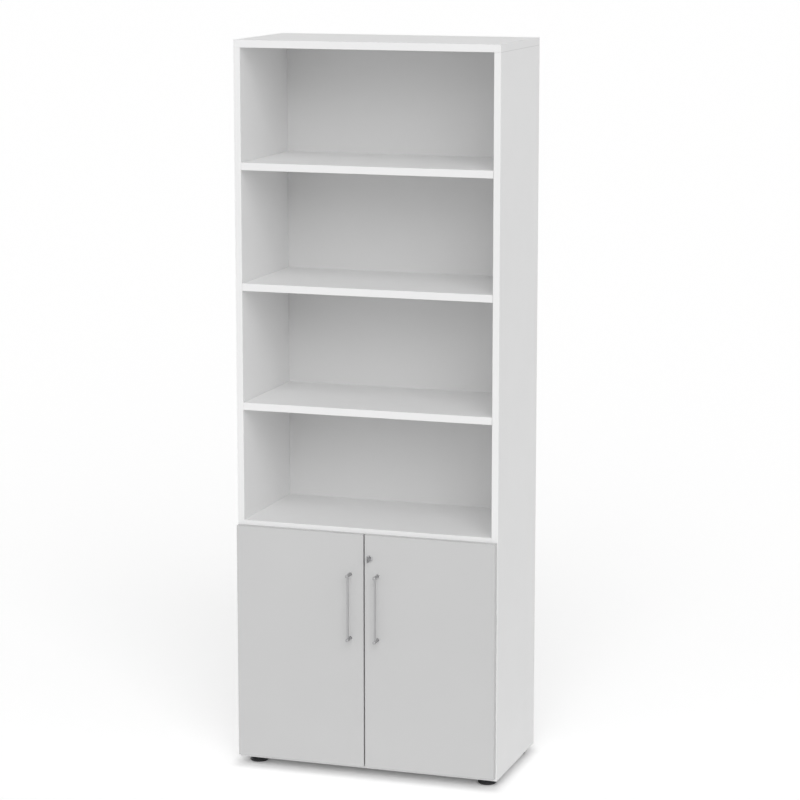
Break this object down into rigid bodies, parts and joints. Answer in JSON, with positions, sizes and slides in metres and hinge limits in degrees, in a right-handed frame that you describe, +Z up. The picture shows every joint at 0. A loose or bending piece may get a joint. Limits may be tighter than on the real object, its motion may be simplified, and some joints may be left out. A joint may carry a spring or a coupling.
{
  "type": "bookcase with cabinet doors",
  "caption": "Tall white bookcase with open shelves above a cupboard with two hinged doors, bar handles, a cylinder lock and levelling feet.",
  "frame": {"origin": "on the floor, in the middle of the overall width and of the overall depth with the handles", "axes": "+Z up, the doors face -Y, +X to the right of a person who faces the doors"},
  "size_m": [0.8, 0.4564, 2.156],
  "materials": {
    "white_board": "white melamine-faced chipboard, matt",
    "back_board": "white faced fibreboard, matt",
    "door_board": "light grey melamine-faced chipboard, matt",
    "dowel_wood": "plain beech",
    "zinc_steel": "zinc plated",
    "black_plastic": "black, moulded",
    "handle_metal": "satin grey",
    "hinge_steel": "nickel plated",
    "pin_steel": "bright drawn",
    "lock_chrome": "polished",
    "key_steel": "nickel plated",
    "lock_metal": "grey, satin",
    "guide_plastic": "light grey, moulded",
    "bumper_rubber": "clear grey, soft"
  },
  "bodies": {
    "carcass": {"back_panel": "back_board", "bottom_board": "white_board", "carcass_dowels": "dowel_wood", "cupboard_shelf": "white_board", "fixed_shelf": "white_board", "foot_sockets": "zinc_steel", "hinge_arm_pins_left": "pin_steel", "hinge_arm_pins_right": "pin_steel", "hinge_arm_screws": "zinc_steel", "hinge_arms_left": "hinge_steel", "hinge_arms_right": "hinge_steel", "hinge_plate_screws": "zinc_steel", "hinge_plates_left": "hinge_steel", "hinge_plates_right": "hinge_steel", "lock_strikes": "zinc_steel", "shelf_lower": "white_board", "shelf_middle": "white_board", "shelf_supports": "zinc_steel", "shelf_upper": "white_board", "side_panel_left": "white_board", "side_panel_right": "white_board", "top_board": "white_board"},
    "left_outer_links": {"hinge_outer_links_left": "hinge_steel"},
    "left_inner_links": {"hinge_inner_links_left": "hinge_steel"},
    "right_outer_links": {"hinge_outer_links_right": "hinge_steel"},
    "right_inner_links": {"hinge_inner_links_right": "hinge_steel"},
    "left_door": {"door_left": "door_board", "handle_bar_left": "handle_metal", "handle_posts_left": "handle_metal", "handle_screws_left": "zinc_steel", "hinge_cups_left": "hinge_steel", "hinge_cup_pins_left": "pin_steel", "door_screws_left": "zinc_steel", "slide_bolt_case": "lock_metal", "door_bumpers_left": "bumper_rubber"},
    "right_door": {"door_right": "door_board", "handle_bar_right": "handle_metal", "handle_posts_right": "handle_metal", "handle_screws_right": "zinc_steel", "hinge_cups_right": "hinge_steel", "hinge_cup_pins_right": "pin_steel", "door_screws_right": "zinc_steel", "lock_housing": "lock_chrome", "lock_case": "lock_metal", "lock_rod_guides": "guide_plastic", "door_bumpers_right": "bumper_rubber"},
    "lock_cylinder": {"lock_plug": "lock_chrome"},
    "key": {"lock_key": "key_steel"},
    "turning_rod": {"lock_rod": "zinc_steel", "lock_rod_hooks": "zinc_steel"},
    "bolt": {"slide_bolt": "zinc_steel"},
    "front_left_foot": {"foot_front_left": "black_plastic", "foot_spindle_front_left": "zinc_steel"},
    "front_right_foot": {"foot_front_right": "black_plastic", "foot_spindle_front_right": "zinc_steel"},
    "rear_left_foot": {"foot_rear_left": "black_plastic", "foot_spindle_rear_left": "zinc_steel"},
    "rear_right_foot": {"foot_rear_right": "black_plastic", "foot_spindle_rear_right": "zinc_steel"}
  },
  "joints": [
    {"name": "left_outer_link_turn", "type": "hinge", "parent": "carcass", "child": "left_outer_links", "pos_m": [-0.3477, -0.13555, 0.38315], "axis": [0, 0, -1], "range_deg": [-33, 0]},
    {"name": "left_door_swing", "type": "hinge", "parent": "left_outer_links", "child": "left_door", "pos_m": [-0.3838, -0.17485, 0.38315], "axis": [0, 0, -1], "range_deg": [0, 127.7]},
    {"name": "left_inner_link_turn", "type": "hinge", "parent": "carcass", "child": "left_inner_links", "pos_m": [-0.3647, -0.16825, 0.38315], "axis": [0, 0, -1], "range_deg": [-68, 0]},
    {"name": "right_outer_link_turn", "type": "hinge", "parent": "carcass", "child": "right_outer_links", "pos_m": [0.3477, -0.13555, 0.38315], "axis": [0, 0, 1], "range_deg": [-33, 0]},
    {"name": "right_door_swing", "type": "hinge", "parent": "right_outer_links", "child": "right_door", "pos_m": [0.3838, -0.17485, 0.38315], "axis": [0, 0, 1], "range_deg": [0, 127.7]},
    {"name": "right_inner_link_turn", "type": "hinge", "parent": "carcass", "child": "right_inner_links", "pos_m": [0.3647, -0.16825, 0.38315], "axis": [0, 0, 1], "range_deg": [-68, 0]},
    {"name": "lock_turn", "type": "hinge", "parent": "right_door", "child": "lock_cylinder", "pos_m": [0.017, -0.19225, 0.6643], "axis": [0, 1, 0], "range_deg": [0, 90]},
    {"name": "rod_turn", "type": "hinge", "parent": "right_door", "child": "turning_rod", "pos_m": [0.017, -0.15925, 0.385], "axis": [0, 0, 1], "range_deg": [0, 90]},
    {"name": "key_pull", "type": "slide", "parent": "lock_cylinder", "child": "key", "axis": [0, -1, 0], "range_m": [0, 0.026]},
    {"name": "bolt_slide", "type": "slide", "parent": "left_door", "child": "bolt", "axis": [0, 0, 1], "range_m": [0, 0.012]},
    {"name": "front_left_foot_adjust", "type": "slide", "parent": "carcass", "child": "front_left_foot", "axis": [0, 0, -1], "range_m": [0, 0.012]},
    {"name": "front_right_foot_adjust", "type": "slide", "parent": "carcass", "child": "front_right_foot", "axis": [0, 0, -1], "range_m": [0, 0.012]},
    {"name": "rear_left_foot_adjust", "type": "slide", "parent": "carcass", "child": "rear_left_foot", "axis": [0, 0, -1], "range_m": [0, 0.012]},
    {"name": "rear_right_foot_adjust", "type": "slide", "parent": "carcass", "child": "rear_right_foot", "axis": [0, 0, -1], "range_m": [0, 0.012]}
  ],
  "couplings": [
    {"joint": "left_outer_link_turn", "follows": "left_door_swing", "ratio": -0.25628},
    {"joint": "left_inner_link_turn", "follows": "left_door_swing", "ratio": -0.52789},
    {"joint": "right_outer_link_turn", "follows": "right_door_swing", "ratio": -0.25628},
    {"joint": "right_inner_link_turn", "follows": "right_door_swing", "ratio": -0.52789},
    {"joint": "lock_turn", "follows": "rod_turn", "ratio": 1}
  ]
}
